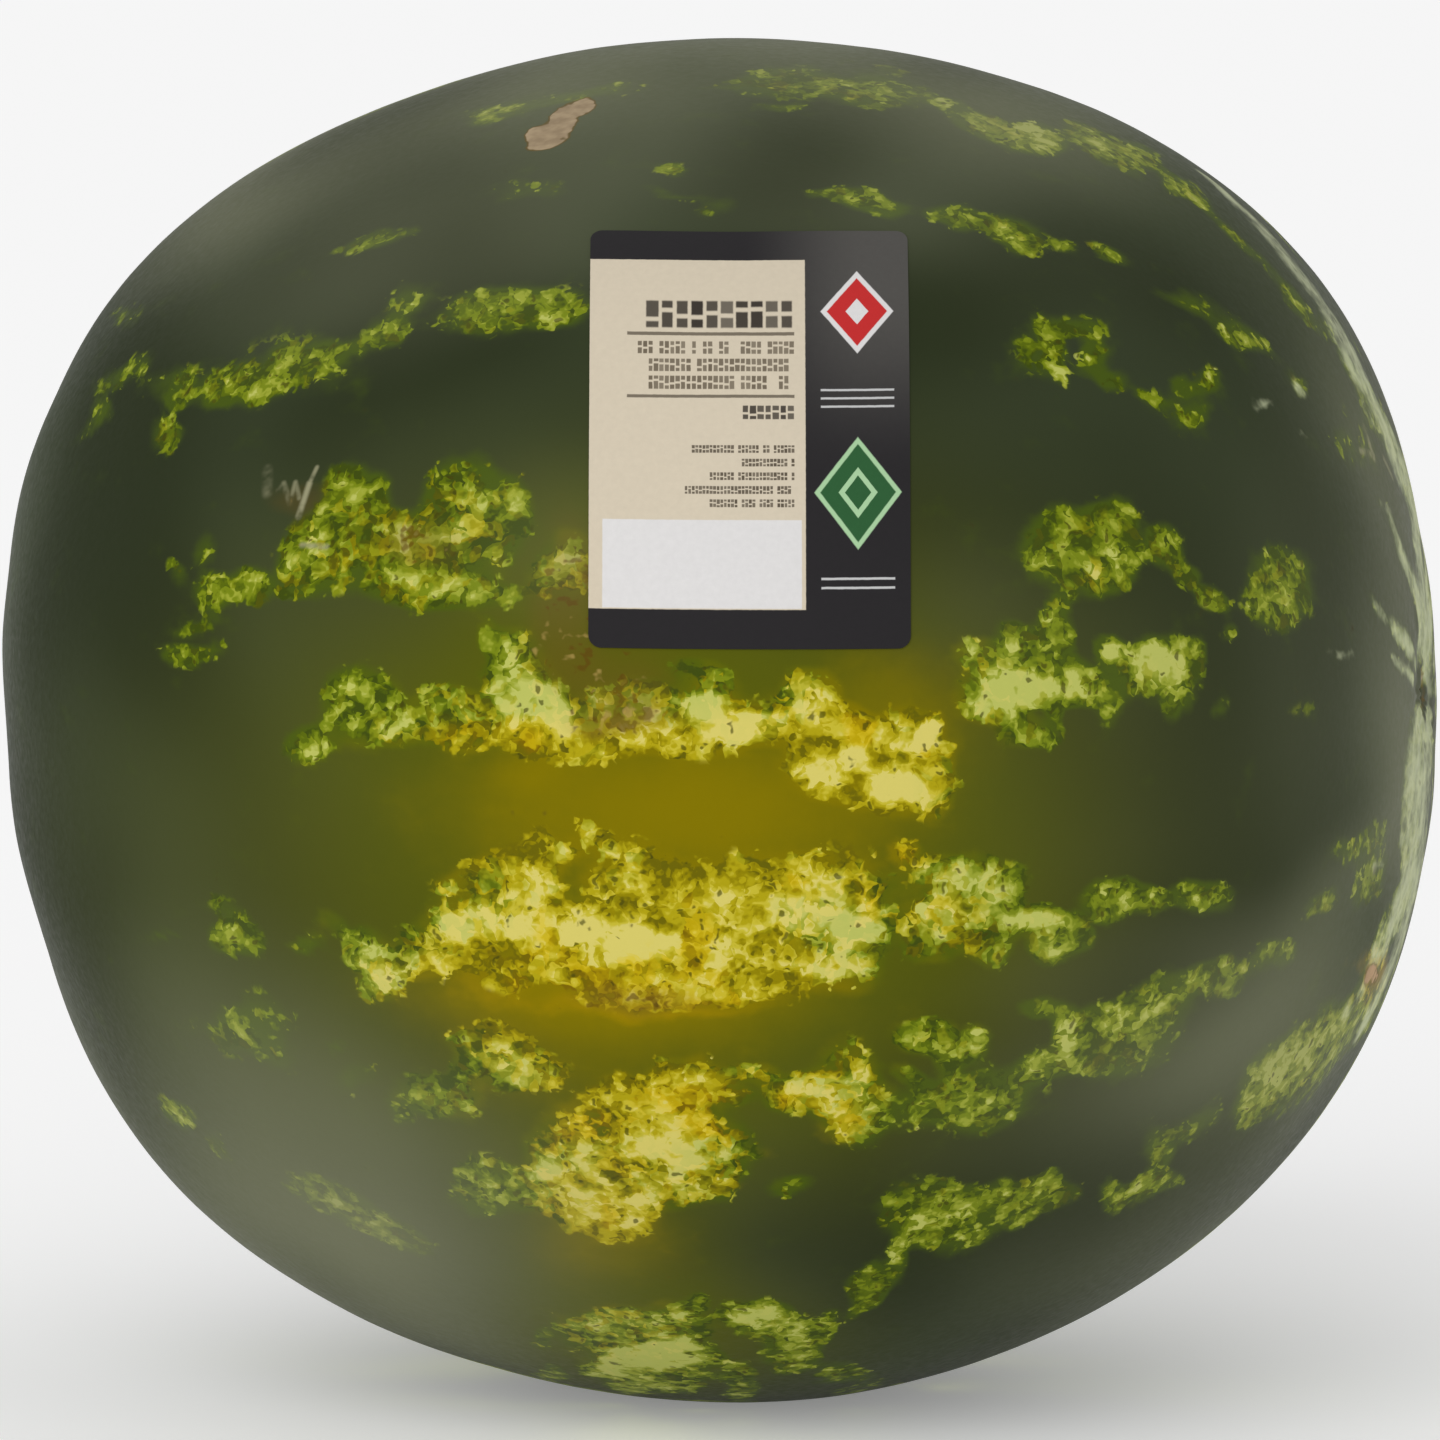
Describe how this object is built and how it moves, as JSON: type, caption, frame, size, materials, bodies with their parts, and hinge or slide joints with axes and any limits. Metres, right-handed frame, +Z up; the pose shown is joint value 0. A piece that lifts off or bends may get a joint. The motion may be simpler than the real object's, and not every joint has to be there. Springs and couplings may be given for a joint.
{
  "type": "whole watermelon",
  "caption": "Whole round green watermelon lying on its side on a small flat spot, with a short dried stem and a rectangular paper sticker.",
  "frame": {"origin": "middle of the underside of the whole part's box, on the surface that the fruit rests on, next to the middle of its flat spot", "axes": "+X along the fruit's axis towards the blossom end, -Y towards the side that carries the sticker, +Z up"},
  "size_m": [0.2658, 0.2526, 0.2507],
  "materials": {
    "rind": "satin",
    "stem": "matte",
    "sticker": "satin"
  },
  "bodies": {
    "root": {"fruit": "rind", "stem_stub": "stem", "label": "sticker"}
  },
  "joints": []
}
